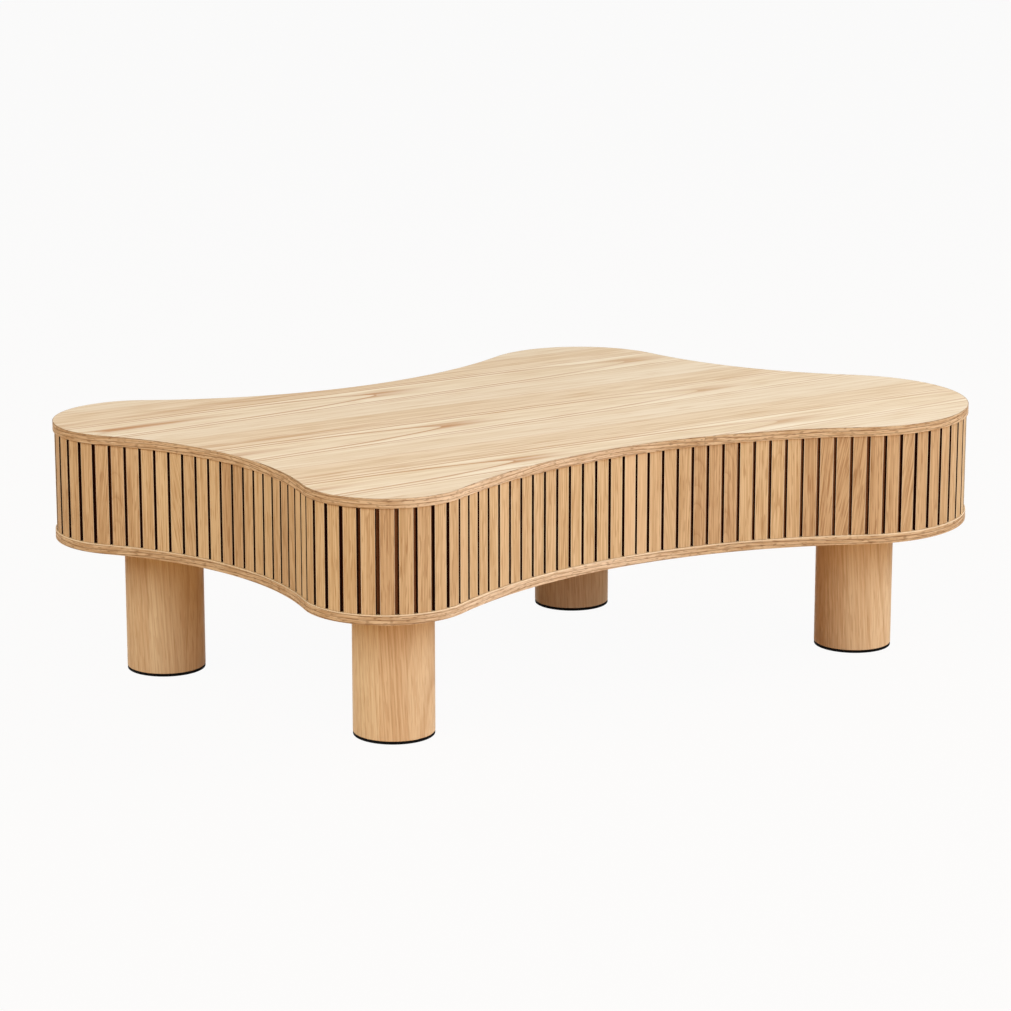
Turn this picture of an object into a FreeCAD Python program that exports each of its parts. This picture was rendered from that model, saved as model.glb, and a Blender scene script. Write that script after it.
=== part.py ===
import FreeCAD, Part
import math
import os
from collections import namedtuple

# A low coffee table: a hollow, slatted, four-lobed box on four round legs.
# Millimetres. +X runs along the table, +Z is up, and the origin is on the floor under its middle.

# Outline of the top seen from above: four round lobes joined by four hollow bays
table_length = 1200.0
table_width = 724.0
table_height = 360.0
left_lobe_radius = 118.0
front_lobe_radius = 113.0
right_lobe_radius = 178.0
rear_lobe_radius = 144.0
front_lobe_from_left_end = 232.0
right_lobe_from_front_side = 181.0
rear_lobe_from_right_end = 362.0
left_bay_radius = 450.0
front_bay_radius = 700.0
right_bay_radius = 495.0
rear_bay_radius = 593.0

# Veneered boards of the top and the bottom, with the leaves of the top's face veneer
board_thickness = 12.0
veneer_thickness = 0.6
edge_band_thickness = 1.0
leaf_width = 227.5
leaf_joint_y = 89.0

# Slats, the thin stained sheet that they are glued to and the bent plywood skirt behind it
slat_width = 19.6
slat_gap = 3.8
slat_thickness = 5.0
slat_edge_ease = 0.5
slat_setback = 2.5
slat_end_clearance = 0.2
backing_thickness = 0.8
skirt_thickness = 5.0
skirt_joint_gap = 0.3
glue_line = 0.2

# The backing is two sheets. They meet near the middle of the front bay and of the rear bay,
# and the slats beside the front seam are trimmed.
seam_shift = 2.8
seam_gap = 2.8
left_seam_slat_width = 18.3
right_seam_slat_width = 16.3

# Rims that hold the shape, ribs under the top and battens behind the skirt's joints
rim_width = 40.0
rim_thickness = 15.0
rib_thickness = 15.0
long_rib_y = 12.0
cross_rib_x = -60.0
rib_clearance = 0.2
batten_width = 40.0
batten_thickness = 12.0

# Legs, each set from the middle of its lobe, and the blocks above them
leg_diameter = 110.0
leg_length = 189.5
leg_edge_ease = 0.8
left_leg_shift_x = 29.0
left_leg_shift_y = -14.0
front_leg_shift_x = 31.0
front_leg_shift_y = 39.0
right_leg_shift_x = 20.0
right_leg_shift_y = -9.0
rear_leg_shift_x = -18.0
rear_leg_shift_y = -4.0
leg_block_width = 84.0
leg_block_thickness = 18.0
leg_block_clearance = 0.5

# Hanger bolts that hold the legs, and their T-nuts
bolt_diameter = 8.0
bolt_depth_in_leg = 55.0
bolt_end_stand = 2.0
bolt_hole_clearance = 0.5
t_nut_barrel_diameter = 10.6
t_nut_barrel_length = 11.0
t_nut_flange_diameter = 24.0
t_nut_flange_thickness = 1.6
thread_clearance = 0.1

# Foot pads and their screws
foot_pad_thickness = 4.0
foot_pad_inset = 0.2
foot_screw_head_diameter = 9.0
foot_screw_diameter = 4.5
foot_screw_length = 28.0
foot_screw_recess = 1.0

# Dowels under the top and screws through the bottom
dowel_diameter = 8.0
dowel_depth_in_top = 8.0
bottom_screw_head_diameter = 8.0
bottom_screw_diameter = 4.0
bottom_screw_length = 25.0
hole_end_clearance = 0.5

# Heights
underside_z = foot_pad_thickness + leg_length
panel_thickness = board_thickness + 2 * veneer_thickness
deck_z = underside_z + panel_thickness
ceiling_z = table_height - panel_thickness
skirt_height = ceiling_z - deck_z

# Distances in from the outline
slat_back_offset = slat_setback + slat_thickness
backing_offset = slat_back_offset + glue_line
skirt_offset = backing_offset + backing_thickness + glue_line
skirt_inner_offset = skirt_offset + skirt_thickness
rim_offset = skirt_inner_offset + glue_line
rim_inner_offset = rim_offset + rim_width
rim_middle_offset = rim_offset + rim_width / 2

Vector = FreeCAD.Vector
Arc = namedtuple("Arc", "name center radius start sweep")
Lobe = namedtuple("Lobe", "name center radius next_bay_radius leg_shift")


# Outline

def lobe_list():
    """The four lobes, counter-clockwise from the left one, with the bay that follows each."""
    half_length = table_length / 2
    half_width = table_width / 2
    left = Vector(left_lobe_radius - half_length, half_width - left_lobe_radius)
    front = Vector(front_lobe_from_left_end - half_length, front_lobe_radius - half_width)
    right = Vector(half_length - right_lobe_radius, right_lobe_from_front_side - half_width)
    rear = Vector(half_length - rear_lobe_from_right_end, half_width - rear_lobe_radius)
    left_shift = Vector(left_leg_shift_x, left_leg_shift_y)
    front_shift = Vector(front_leg_shift_x, front_leg_shift_y)
    right_shift = Vector(right_leg_shift_x, right_leg_shift_y)
    rear_shift = Vector(rear_leg_shift_x, rear_leg_shift_y)
    return [
        Lobe("left", left, left_lobe_radius, left_bay_radius, left_shift),
        Lobe("front", front, front_lobe_radius, front_bay_radius, front_shift),
        Lobe("right", right, right_lobe_radius, right_bay_radius, right_shift),
        Lobe("rear", rear, rear_lobe_radius, rear_bay_radius, rear_shift),
    ]


def bay_center(lobe, following):
    """Centre of the circle that touches two lobes from outside the table."""
    first_reach = lobe.radius + lobe.next_bay_radius
    second_reach = following.radius + lobe.next_bay_radius
    span = following.center - lobe.center
    along = (span.Length ** 2 + first_reach ** 2 - second_reach ** 2) / (2 * span.Length)
    away = math.sqrt(first_reach ** 2 - along ** 2)
    direction = Vector(span).normalize()
    outward = Vector(direction.y, -direction.x)
    return lobe.center + direction * along + outward * away


def heading(ray):
    return math.atan2(ray.y, ray.x)


def outline_arcs(lobes):
    """The eight tangent arcs of the outline: lobes turn left and bays turn right."""
    count = len(lobes)
    bays = [bay_center(lobes[i], lobes[(i + 1) % count]) for i in range(count)]
    full_turn = 2 * math.pi
    arcs = []
    for i, lobe in enumerate(lobes):
        following = lobes[(i + 1) % count]
        start = heading(bays[i - 1] - lobe.center)
        sweep = (heading(bays[i] - lobe.center) - start) % full_turn
        arcs.append(Arc(lobe.name + "_lobe", lobe.center, lobe.radius, start, sweep))
        start = heading(lobe.center - bays[i])
        sweep = (heading(following.center - bays[i]) - start) % full_turn - full_turn
        arcs.append(Arc(lobe.name + "_bay", bays[i], lobe.next_bay_radius, start, sweep))
    return arcs


LOBES = lobe_list()
ARCS = outline_arcs(LOBES)
ARC_COUNT = len(ARCS)

# A station is an arc's number plus the share of that arc already passed,
# so a half added to a bay's number is the middle of that bay.


def offset_radius(arc, offset):
    """Radius of an arc moved in by an offset: lobes shrink and bays grow."""
    return arc.radius - offset if arc.sweep > 0 else arc.radius + offset


def arc_length(arc, offset):
    return abs(arc.sweep) * offset_radius(arc, offset)


def arc_spot(arc, share, offset):
    angle = arc.start + arc.sweep * share
    return arc.center + Vector(math.cos(angle), math.sin(angle)) * offset_radius(arc, offset)


def spot_at(station, offset):
    """Point of the offset outline at a station."""
    index = math.floor(station)
    return arc_spot(ARCS[index % ARC_COUNT], station - index, offset)


def outward_at(station):
    """Unit vector that points out of the table at a station."""
    return (spot_at(station, 0.0) - spot_at(station, 1.0)).normalize()


def run_length(offset, start, end):
    """Length of the offset outline between two stations."""
    total = 0.0
    for index in range(math.floor(start), math.ceil(end)):
        share = min(end - index, 1.0) - max(start - index, 0.0)
        total += share * arc_length(ARCS[index % ARC_COUNT], offset)
    return total


def station_after(offset, start, distance):
    """Station reached by walking a distance along the offset outline."""
    station = start
    left = distance
    while True:
        index = math.floor(station)
        length = arc_length(ARCS[index % ARC_COUNT], offset)
        rest = length * (index + 1 - station)
        if left <= rest:
            return station + left / length
        left -= rest
        station = index + 1


def run_edges(offset, start, end):
    """Edges of the offset outline between two stations."""
    edges = []
    for index in range(math.floor(start), math.ceil(end)):
        arc = ARCS[index % ARC_COUNT]
        low = max(start - index, 0.0)
        high = min(end - index, 1.0)
        points = [arc_spot(arc, share, offset) for share in (low, (low + high) / 2, high)]
        edges.append(Part.Arc(*points).toShape())
    return edges


def raise_face(edges, z, height):
    """Solid over the closed outline that the edges make."""
    face = Part.Face(Part.Wire(Part.__sortEdges__(edges)))
    face.translate(Vector(0, 0, z))
    return face.extrude(Vector(0, 0, height))


def plate(offset, z, height):
    """A flat board cut to the offset outline."""
    return raise_face(run_edges(offset, 0, ARC_COUNT), z, height)


def hoop(outer_offset, inner_offset, z, height):
    """A closed band between two offsets of the outline."""
    return plate(outer_offset, z, height).cut(plate(inner_offset, z, height))


def bent_wall(outer_offset, inner_offset, start, end, z, height):
    """A bent wall between two offsets of the outline, from one station to another."""
    edges = run_edges(outer_offset, start, end) + run_edges(inner_offset, start, end)
    for station in (start, end):
        edges.append(Part.makeLine(spot_at(station, outer_offset), spot_at(station, inner_offset)))
    return raise_face(edges, z, height)


def disc(diameter, height, place):
    return Part.makeCylinder(diameter / 2, height, place)


def countersunk_screw(place, head_diameter, shank_diameter, length, clearance=0.0):
    """A screw that points up from its head. With a clearance it is the hole for that screw."""
    head_radius = head_diameter / 2 + clearance
    shank_radius = shank_diameter / 2 + clearance
    head_height = head_radius - shank_radius
    head = Part.makeCone(head_radius, shank_radius, head_height, place)
    shank = Part.makeCylinder(shank_radius, length - head_height, place + Vector(0, 0, head_height))
    return head.fuse(shank).removeSplitter()


# Places that several pieces share

def at_height(spot, z):
    return Vector(spot.x, spot.y, z)


def leg_spots():
    return {lobe.name: lobe.center + lobe.leg_shift for lobe in LOBES}


def rim_spots():
    """One point on the middle of the rims in each lobe and bay."""
    return [spot_at(index + 0.5, rim_middle_offset) for index in range(ARC_COUNT)]


def arc_number(name):
    return [arc.name for arc in ARCS].index(name)


def seam(bay_name, shift):
    """Station at a distance past the middle of a bay."""
    bay = arc_number(bay_name)
    return bay + 0.5 + shift / arc_length(ARCS[bay], slat_back_offset)


def front_seam():
    return seam("front_bay", seam_shift)


def rear_seam():
    return seam("rear_bay", -seam_shift)


# Top and bottom

def dowel_holes():
    """Holes for the dowels, through the upper rim and part way into the top."""
    depth = rim_thickness + dowel_depth_in_top + hole_end_clearance
    size = dowel_diameter + 2 * thread_clearance
    return [disc(size, depth, at_height(spot, ceiling_z - rim_thickness)) for spot in rim_spots()]


def bottom_screw_holes():
    """Countersunk holes, through the bottom and part way into the lower rim."""
    depth = bottom_screw_length + hole_end_clearance
    return [
        countersunk_screw(
            at_height(spot, underside_z),
            bottom_screw_head_diameter,
            bottom_screw_diameter,
            depth,
            thread_clearance,
        )
        for spot in rim_spots()
    ]


def bolt_holes():
    """Holes for the hanger bolts, through the bottom and the blocks above the legs."""
    size = bolt_diameter + 2 * bolt_hole_clearance
    depth = panel_thickness + leg_block_thickness
    return [disc(size, depth, at_height(spot, underside_z)) for spot in leg_spots().values()]


def face_leaves():
    """The top's face veneer: leaves side by side, jointed along the table."""
    sheet = plate(edge_band_thickness, table_height - veneer_thickness, veneer_thickness)
    first = math.floor((-table_width / 2 - leaf_joint_y) / leaf_width)
    last = math.ceil((table_width / 2 - leaf_joint_y) / leaf_width)
    leaves = []
    for index in range(first, last):
        corner = Vector(-table_length / 2, leaf_joint_y + index * leaf_width, sheet.BoundBox.ZMin)
        strip = Part.makeBox(table_length, leaf_width, veneer_thickness, corner)
        leaves += sheet.common(strip).Solids
    return leaves


def add_top(nodes):
    holes = dowel_holes()
    board_z = ceiling_z + veneer_thickness
    nodes["top_face_veneer"] = face_leaves()
    nodes["top_board"] = [plate(edge_band_thickness, board_z, board_thickness).cut(holes)]
    nodes["top_balance_veneer"] = [plate(edge_band_thickness, ceiling_z, veneer_thickness).cut(holes)]
    nodes["top_edge_band"] = [hoop(0.0, edge_band_thickness, ceiling_z, panel_thickness)]


def add_bottom(nodes):
    holes = bottom_screw_holes() + bolt_holes()
    layers = (
        ("bottom_face_veneer", underside_z, veneer_thickness),
        ("bottom_board", underside_z + veneer_thickness, board_thickness),
        ("bottom_balance_veneer", deck_z - veneer_thickness, veneer_thickness),
    )
    for name, z, thickness in layers:
        nodes[name] = [plate(edge_band_thickness, z, thickness).cut(holes)]
    nodes["bottom_edge_band"] = [hoop(0.0, edge_band_thickness, underside_z, panel_thickness)]


# Frame inside the box

def add_rims(nodes):
    upper = hoop(rim_offset, rim_inner_offset, ceiling_z - rim_thickness, rim_thickness)
    lower = hoop(rim_offset, rim_inner_offset, deck_z, rim_thickness)
    nodes["upper_rim"] = [upper.cut(dowel_holes())]
    nodes["lower_rim"] = [lower.cut(bottom_screw_holes())]


def add_ribs(nodes):
    """Two ribs between the rims, half-lapped where they cross."""
    room = plate(rim_inner_offset + rib_clearance, deck_z, skirt_height)
    long_corner = Vector(-table_length / 2, long_rib_y - rib_thickness / 2, deck_z)
    cross_corner = Vector(cross_rib_x - rib_thickness / 2, -table_width / 2, deck_z)
    long_rib = Part.makeBox(table_length, rib_thickness, skirt_height, long_corner).common(room)
    cross_rib = Part.makeBox(rib_thickness, table_width, skirt_height, cross_corner).common(room)
    slot_width = rib_thickness + 2 * rib_clearance
    slot_depth = skirt_height / 2 + rib_clearance
    slot_corner = Vector(cross_rib_x - slot_width / 2, long_rib_y - slot_width / 2, deck_z)
    low_slot = Part.makeBox(slot_width, slot_width, slot_depth, slot_corner)
    high_slot = low_slot.translated(Vector(0, 0, skirt_height - slot_depth))
    nodes["long_rib"] = [long_rib.cut(high_slot)]
    nodes["cross_rib"] = [cross_rib.cut(low_slot)]


def add_skirt(nodes):
    """Four lengths of bent plywood, one round each lobe, that meet at the middle of the bays."""
    for i, lobe in enumerate(LOBES):
        joint_before = 2 * i - 0.5
        joint_after = 2 * i + 1.5
        bay_before = arc_length(ARCS[2 * i - 1], skirt_offset)
        bay_after = arc_length(ARCS[2 * i + 1], skirt_offset)
        start = joint_before + skirt_joint_gap / 2 / bay_before
        end = joint_after - skirt_joint_gap / 2 / bay_after
        wall = bent_wall(skirt_offset, skirt_inner_offset, start, end, deck_z, skirt_height)
        nodes["skirt_" + lobe.name] = [wall]


def add_battens(nodes):
    """Upright battens between the rims, behind the joints of the skirt."""
    height = skirt_height - 2 * rim_thickness
    battens = []
    for index in range(1, ARC_COUNT, 2):
        outward = outward_at(index + 0.5)
        along = Vector(-outward.y, outward.x)
        seat = at_height(spot_at(index + 0.5, rim_offset), deck_z + rim_thickness)
        half = along * (batten_width / 2)
        depth = outward * -batten_thickness
        corners = [seat - half, seat + half, seat + half + depth, seat - half + depth]
        face = Part.Face(Part.makePolygon(corners + corners[:1]))
        battens.append(face.extrude(Vector(0, 0, height)))
    nodes["splice_battens"] = battens


# Slats

def slat(station, width):
    """One flat slat, square to the outline at a station, with eased front edges."""
    outward = outward_at(station)
    along = Vector(-outward.y, outward.x)
    seat = at_height(spot_at(station, slat_back_offset), deck_z + slat_end_clearance)
    half = width / 2
    shoulder = slat_thickness - slat_edge_ease
    profile = [
        (-half, 0.0),
        (half, 0.0),
        (half, shoulder),
        (half - slat_edge_ease, slat_thickness),
        (slat_edge_ease - half, slat_thickness),
        (-half, shoulder),
    ]
    corners = [seat + along * x + outward * y for x, y in profile]
    face = Part.Face(Part.makePolygon(corners + corners[:1]))
    return face.extrude(Vector(0, 0, skirt_height - 2 * slat_end_clearance))


def lay_sheet(nodes, start, end, seam_slat_width, seam_slat_first):
    """Slats of one sheet, evenly spaced from seam to seam, with the trimmed slat at its front end."""
    room = run_length(slat_back_offset, start, end) - seam_gap - seam_slat_width
    count = round(room / (slat_width + slat_gap))
    gap = room / count - slat_width
    widths = [slat_width] * count
    widths.insert(0 if seam_slat_first else count, seam_slat_width)
    passed = seam_gap / 2
    for width in widths:
        station = station_after(slat_back_offset, start, passed + width / 2)
        arc = ARCS[math.floor(station) % ARC_COUNT]
        nodes.setdefault("slats_" + arc.name, []).append(slat(station, width))
        passed += width + gap


def add_slats(nodes):
    lay_sheet(nodes, front_seam(), rear_seam(), right_seam_slat_width, True)
    lay_sheet(nodes, rear_seam(), front_seam() + ARC_COUNT, left_seam_slat_width, False)


def add_backing(nodes):
    """Two thin sheets between the slats and the skirt, a seam gap apart at both ends."""
    front_trim = seam_gap / 2 / arc_length(ARCS[arc_number("front_bay")], backing_offset)
    rear_trim = seam_gap / 2 / arc_length(ARCS[arc_number("rear_bay")], backing_offset)
    z = deck_z + slat_end_clearance
    height = skirt_height - 2 * slat_end_clearance
    inner_offset = backing_offset + backing_thickness
    right_run = (front_seam() + front_trim, rear_seam() - rear_trim)
    left_run = (rear_seam() + rear_trim, front_seam() - front_trim + ARC_COUNT)
    for side, (start, end) in (("right", right_run), ("left", left_run)):
        nodes["slat_backing_" + side] = [bent_wall(backing_offset, inner_offset, start, end, z, height)]


# Legs and feet

def add_leg_blocks(nodes):
    """A block on the bottom above each leg, bored for its bolt and T-nut."""
    room = plate(rim_inner_offset + leg_block_clearance, deck_z, leg_block_thickness)
    top_z = deck_z + leg_block_thickness
    barrel_size = t_nut_barrel_diameter + 2 * thread_clearance
    barrel_depth = t_nut_barrel_length + hole_end_clearance
    holes = bolt_holes()
    for name, spot in leg_spots().items():
        corner = at_height(spot, deck_z) - Vector(leg_block_width / 2, leg_block_width / 2, 0)
        blank = Part.makeBox(leg_block_width, leg_block_width, leg_block_thickness, corner)
        barrel_hole = disc(barrel_size, barrel_depth, at_height(spot, top_z - barrel_depth))
        nodes["leg_block_" + name] = [blank.common(room).cut(holes + [barrel_hole])]


def t_nut(spot):
    """A T-nut: its flange lies on the block and its barrel hangs in the bore."""
    flange_z = deck_z + leg_block_thickness
    flange = disc(t_nut_flange_diameter, t_nut_flange_thickness, at_height(spot, flange_z))
    barrel_z = flange_z - t_nut_barrel_length
    barrel = disc(t_nut_barrel_diameter, t_nut_barrel_length, at_height(spot, barrel_z))
    bore_size = bolt_diameter + 2 * thread_clearance
    bore_length = t_nut_barrel_length + t_nut_flange_thickness
    bore = disc(bore_size, bore_length, at_height(spot, barrel_z))
    return flange.fuse(barrel).removeSplitter().cut(bore)


def leg_bolt(spot):
    """A hanger bolt from inside the leg to just above its T-nut."""
    low_z = underside_z - bolt_depth_in_leg
    high_z = deck_z + leg_block_thickness + t_nut_flange_thickness + bolt_end_stand
    return disc(bolt_diameter, high_z - low_z, at_height(spot, low_z))


def foot_screw(spot, clearance=0.0, extra_length=0.0):
    place = at_height(spot, foot_screw_recess)
    length = foot_screw_length + extra_length
    return countersunk_screw(place, foot_screw_head_diameter, foot_screw_diameter, length, clearance)


def leg(spot):
    """A round leg with an eased foot, bored for its bolt above and its screw below."""
    body = disc(leg_diameter, leg_length, at_height(spot, foot_pad_thickness))
    foot_edges = [edge for edge in body.Edges if edge.Closed and edge.BoundBox.ZMax < underside_z]
    body = body.makeChamfer(leg_edge_ease, foot_edges)
    bore_depth = bolt_depth_in_leg + hole_end_clearance
    bore_size = bolt_diameter + 2 * thread_clearance
    bore = disc(bore_size, bore_depth, at_height(spot, underside_z - bore_depth))
    return body.cut([bore, foot_screw(spot, thread_clearance, hole_end_clearance)])


def foot_pad(spot):
    """A flat pad a little smaller than the leg, with a recess for its screw."""
    pad = disc(leg_diameter - 2 * foot_pad_inset, foot_pad_thickness, at_height(spot, 0.0))
    recess_size = foot_screw_head_diameter + 2 * thread_clearance
    recess = disc(recess_size, foot_screw_recess, at_height(spot, 0.0))
    return pad.cut([recess, foot_screw(spot, thread_clearance)])


def add_legs(nodes):
    spots = leg_spots()
    for name, spot in spots.items():
        nodes["leg_" + name] = [leg(spot)]
        nodes["foot_pad_" + name] = [foot_pad(spot)]
    nodes["leg_bolts"] = [leg_bolt(spot) for spot in spots.values()]
    nodes["leg_t_nuts"] = [t_nut(spot) for spot in spots.values()]
    nodes["foot_screws"] = [foot_screw(spot) for spot in spots.values()]


# Fixings of the boards

def add_fixings(nodes):
    dowel_length = rim_thickness + dowel_depth_in_top
    dowel_z = ceiling_z - rim_thickness
    nodes["top_dowels"] = [
        disc(dowel_diameter, dowel_length, at_height(spot, dowel_z)) for spot in rim_spots()
    ]
    nodes["bottom_screws"] = [
        countersunk_screw(
            at_height(spot, underside_z),
            bottom_screw_head_diameter,
            bottom_screw_diameter,
            bottom_screw_length,
        )
        for spot in rim_spots()
    ]


def build():
    nodes = {}
    add_top(nodes)
    add_bottom(nodes)
    add_rims(nodes)
    add_ribs(nodes)
    add_skirt(nodes)
    add_battens(nodes)
    add_slats(nodes)
    add_backing(nodes)
    add_leg_blocks(nodes)
    add_legs(nodes)
    add_fixings(nodes)
    return nodes


def export(nodes):
    os.makedirs("parts", exist_ok=True)
    for name, shapes in nodes.items():
        solids = [solid for shape in shapes for solid in shape.Solids]
        shape = solids[0] if len(solids) == 1 else Part.makeCompound(solids)
        shape.exportStep("parts/" + name + ".step")
        print(name, "solids", len(solids), "valid", shape.isValid(), "cm3", round(shape.Volume / 1000, 2))


export(build())
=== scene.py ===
import math

import bpy
import numpy as np
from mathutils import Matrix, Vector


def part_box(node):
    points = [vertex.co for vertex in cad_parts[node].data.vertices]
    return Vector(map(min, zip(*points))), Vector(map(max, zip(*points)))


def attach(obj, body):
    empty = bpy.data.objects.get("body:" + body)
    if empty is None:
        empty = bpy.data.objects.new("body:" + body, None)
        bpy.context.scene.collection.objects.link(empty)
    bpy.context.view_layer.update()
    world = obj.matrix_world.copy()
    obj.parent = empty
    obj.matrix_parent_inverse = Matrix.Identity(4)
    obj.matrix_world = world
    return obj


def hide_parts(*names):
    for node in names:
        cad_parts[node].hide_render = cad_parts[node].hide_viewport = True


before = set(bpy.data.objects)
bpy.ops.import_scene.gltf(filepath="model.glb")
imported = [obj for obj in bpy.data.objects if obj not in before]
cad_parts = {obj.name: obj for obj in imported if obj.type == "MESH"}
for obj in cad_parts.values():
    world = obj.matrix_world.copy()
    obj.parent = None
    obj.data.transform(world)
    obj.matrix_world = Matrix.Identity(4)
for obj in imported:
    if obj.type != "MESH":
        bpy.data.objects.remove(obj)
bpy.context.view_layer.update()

# A low coffee table: a slatted, four-lobed box on four round legs.
# Metres. +X runs along the table, +Z is up, and the origin is on the floor under its middle.

# Outline of the top: four lobes joined by hollow bays, counter-clockwise from the left lobe
TABLE_LENGTH = 1.200
TABLE_WIDTH = 0.724
LOBE_NAMES = ("left", "front", "right", "rear")
LOBE_RADIUS = np.array([0.118, 0.113, 0.178, 0.144])
BAY_RADIUS = np.array([0.450, 0.700, 0.495, 0.593])
FRONT_LOBE_FROM_LEFT_END = 0.232
RIGHT_LOBE_FROM_FRONT_SIDE = 0.181
REAR_LOBE_FROM_RIGHT_END = 0.362
OUTLINE_STEP = 0.003

# Heights of the two boards, and the floor that the pads stand on, from the frame
TOP_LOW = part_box("top_edge_band")[0].z
TOP_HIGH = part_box("top_edge_band")[1].z
BOTTOM_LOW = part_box("bottom_edge_band")[0].z
BOTTOM_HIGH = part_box("bottom_edge_band")[1].z
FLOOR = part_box("foot_pad_left")[0].z

# Face veneer and edge bands. The veneer's rings are shares of the way from the middle to its edge.
VENEER_THICKNESS = 0.0006
VENEER_RINGS = (0.15, 0.6, 1.0)
BAND_THICKNESS = 0.001
BAND_INSET = 0.00005
BAND_EASE = 0.0005
GLUE_LINE = 0.0004
# Width of the painted highlight along the bottom band's upper edge
RIM_HIGHLIGHT_WIDTH = 0.0013
# Length of the soft change at each end of a stretch of band painted paler as sheen
SHEEN_FADE = 0.12

# Slats, the dark sheet behind them, and the skirt and rim behind that
CLEARANCE = 0.0002
SLAT_WIDTH = 0.0196
SLAT_GAP = 0.0038
SLAT_THICKNESS = 0.005
SLAT_EASE = 0.0003
# Width of the strip on a slat's face beside each front corner that carries a painted highlight
ARRIS_WIDTH = 0.0012
SLAT_SETBACK = 0.0025
SLAT_BACK = SLAT_SETBACK + SLAT_THICKNESS
SEAM_SHIFT = 0.0028
SEAM_GAP = 0.0028
LEFT_SEAM_SLAT_WIDTH = 0.0183
RIGHT_SEAM_SLAT_WIDTH = 0.0163
BACKING_THICKNESS = 0.0008
BACKING_FRONT = SLAT_BACK + CLEARANCE
BACKING_BACK = BACKING_FRONT + BACKING_THICKNESS
SKIRT_THICKNESS = 0.005
RIM_HALF_WIDTH = 0.020
RIM_MIDDLE = BACKING_BACK + CLEARANCE + SKIRT_THICKNESS + CLEARANCE + RIM_HALF_WIDTH

# Slats that differ, by number: 0 stands right of the front seam and counts on, and -1 stands left of it
# and counts down. A run of browner slats is its first, its last and how brown. A slant is rise over run,
# and a crown cut has a tilt. The figure is how strongly their lines show.
BROWN_RUNS = (
    (3, 3, 0.4), (4, 6, 0.8), (11, 15, 0.85), (16, 21, 0.65), (30, 36, 0.7), (44, 52, 0.5), (63, 66, 0.8),
    (-20, -20, 0.7), (-21, -16, 0.3), (-30, -29, 0.6), (-35, -34, 0.6), (-43, -42, 0.45), (-50, -44, 0.5),
    (-60, -54, 0.6),
)
PALE_SLATS = {0: 0.8, -1: 1.0, 1: 0.25, 2: 0.3, -11: 0.35, -15: 0.45}
SLANTING_SLATS = {2: 0.10, 12: -0.10, 13: -0.21, 14: -0.12, 17: -0.16, 33: 0.22, 47: -0.12, 58: 0.18,
                  -38: 0.10, -39: 0.20, -44: -0.10, -56: 0.24}
CROWN_SLATS = {4: 0.10, 6: -0.12, 9: 0.06, 25: 0.10, 40: -0.08, 50: 0.12, -43: 0.10, -28: 0.05, -58: -0.10}
SLANTING_FIGURE = 0.13
CROWN_FIGURE = 0.34

# Legs, foot pads and screws
LEG_RADIUS = 0.055
LEG_EASE = 0.0008
LEG_SIDES = 144
PAD_RADIUS = 0.0548
PAD_EASE = 0.0003
PAD_HOLE_RADIUS = 0.0046
SCREW_SIDES = 48
SCREW_FACE_RINGS = 18
# Radius of the head and of the shank
BOTTOM_SCREW = (0.004, 0.002)
FOOT_SCREW = (0.0045, 0.00225)

FULL_TURN = 2 * math.pi
QUARTER_TURN = math.pi / 2
SHARP_ANGLE = math.radians(35)
CORNER_POINTS = 4


# Outline

def heading(rays):
    return np.arctan2(rays[..., 1], rays[..., 0])


def alternate(lobes, bays):
    """Lobe and bay values in turn: lobe, bay, lobe, bay and so on."""
    return np.stack([lobes, bays], axis=1).reshape(-1, *lobes.shape[1:])


def outline_arcs():
    """Centres, radii, start angles and sweeps of the eight arcs that make the outline.

    A bay's circle touches two neighbouring lobes from outside, so its centre is as far from each lobe's
    centre as the two radii added: the outer crossing of two circles. Lobes sweep left and bays right.
    """
    half_length = TABLE_LENGTH / 2
    half_width = TABLE_WIDTH / 2
    lobes = np.array([
        (LOBE_RADIUS[0] - half_length, half_width - LOBE_RADIUS[0]),
        (FRONT_LOBE_FROM_LEFT_END - half_length, LOBE_RADIUS[1] - half_width),
        (half_length - LOBE_RADIUS[2], RIGHT_LOBE_FROM_FRONT_SIDE - half_width),
        (half_length - REAR_LOBE_FROM_RIGHT_END, half_width - LOBE_RADIUS[3]),
    ])
    following = np.roll(lobes, -1, axis=0)
    span = following - lobes
    distance = np.linalg.norm(span, axis=1)
    reach = LOBE_RADIUS + BAY_RADIUS
    next_reach = np.roll(LOBE_RADIUS, -1) + BAY_RADIUS
    along = (distance ** 2 + reach ** 2 - next_reach ** 2) / (2 * distance)
    away = np.sqrt(reach ** 2 - along ** 2)
    direction = span / distance[:, None]
    outward = np.column_stack([direction[:, 1], -direction[:, 0]])
    bays = lobes + direction * along[:, None] + outward * away[:, None]
    lobe_start = heading(np.roll(bays, 1, axis=0) - lobes)
    lobe_sweep = (heading(bays - lobes) - lobe_start) % FULL_TURN
    bay_start = heading(lobes - bays)
    bay_sweep = (heading(following - bays) - bay_start) % FULL_TURN - FULL_TURN
    return (
        alternate(lobes, bays),
        alternate(LOBE_RADIUS, BAY_RADIUS),
        alternate(lobe_start, bay_start),
        alternate(lobe_sweep, bay_sweep),
    )


ARC_CENTER, ARC_RADIUS, ARC_START, ARC_SWEEP = outline_arcs()
ARC_TURN = np.sign(ARC_SWEEP)
ARC_NAMES = [name + part for name in LOBE_NAMES for part in ("_lobe", "_bay")]
ARC_COUNT = len(ARC_NAMES)

# A station is an arc's number plus the share of that arc already passed,
# so a half added to a bay's number is the middle of that bay.


def passed_lengths(offset):
    """Length passed before each arc, and in all, on the outline moved in by an offset."""
    lengths = np.abs(ARC_SWEEP) * (ARC_RADIUS - ARC_TURN * offset)
    return np.concatenate([[0.0], np.cumsum(lengths)])


def length_at(station, offset):
    """Length along the offset outline from station 0. It grows evenly on each arc."""
    return np.interp(station, np.arange(ARC_COUNT + 1), passed_lengths(offset))


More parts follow.
